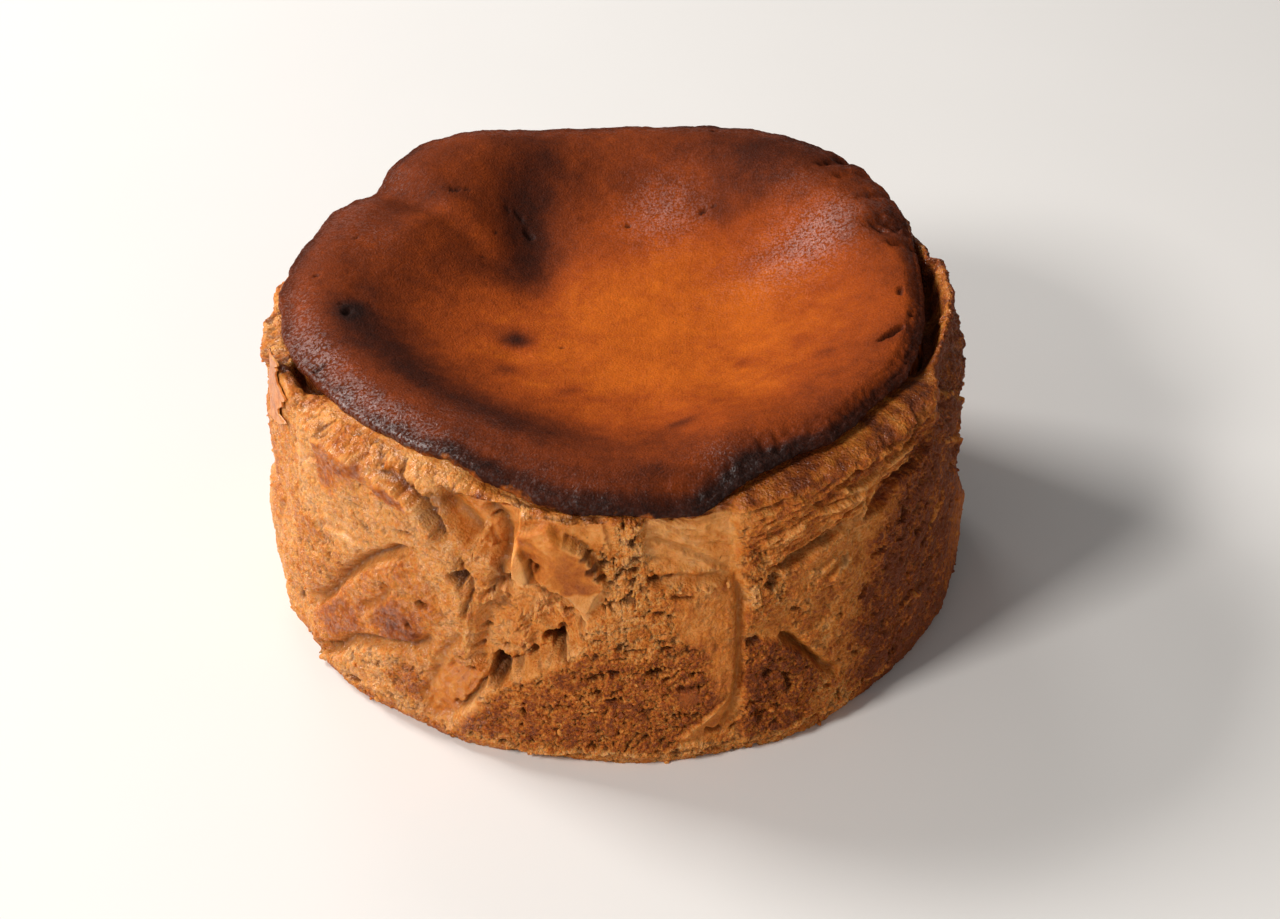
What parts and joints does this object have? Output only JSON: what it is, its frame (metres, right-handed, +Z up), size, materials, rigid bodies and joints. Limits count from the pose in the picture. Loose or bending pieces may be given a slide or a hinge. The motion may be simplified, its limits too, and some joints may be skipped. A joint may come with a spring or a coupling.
{
  "type": "basque cheesecake",
  "caption": "Small round basque cheesecake with a dark sunken top crust and a crumpled golden-brown side.",
  "frame": {"origin": "middle of the flat foot, on the surface that the cake stands on", "axes": "+Z up; -Y towards the side that the picture shows; +X to its right"},
  "size_m": [0.1229, 0.1224, 0.0598],
  "materials": {
    "baked_cheesecake": "baked cheesecake: golden tan crumb on the side, dark brown satin crust on top"
  },
  "bodies": {
    "root": {"cheesecake": "baked_cheesecake"}
  },
  "joints": []
}
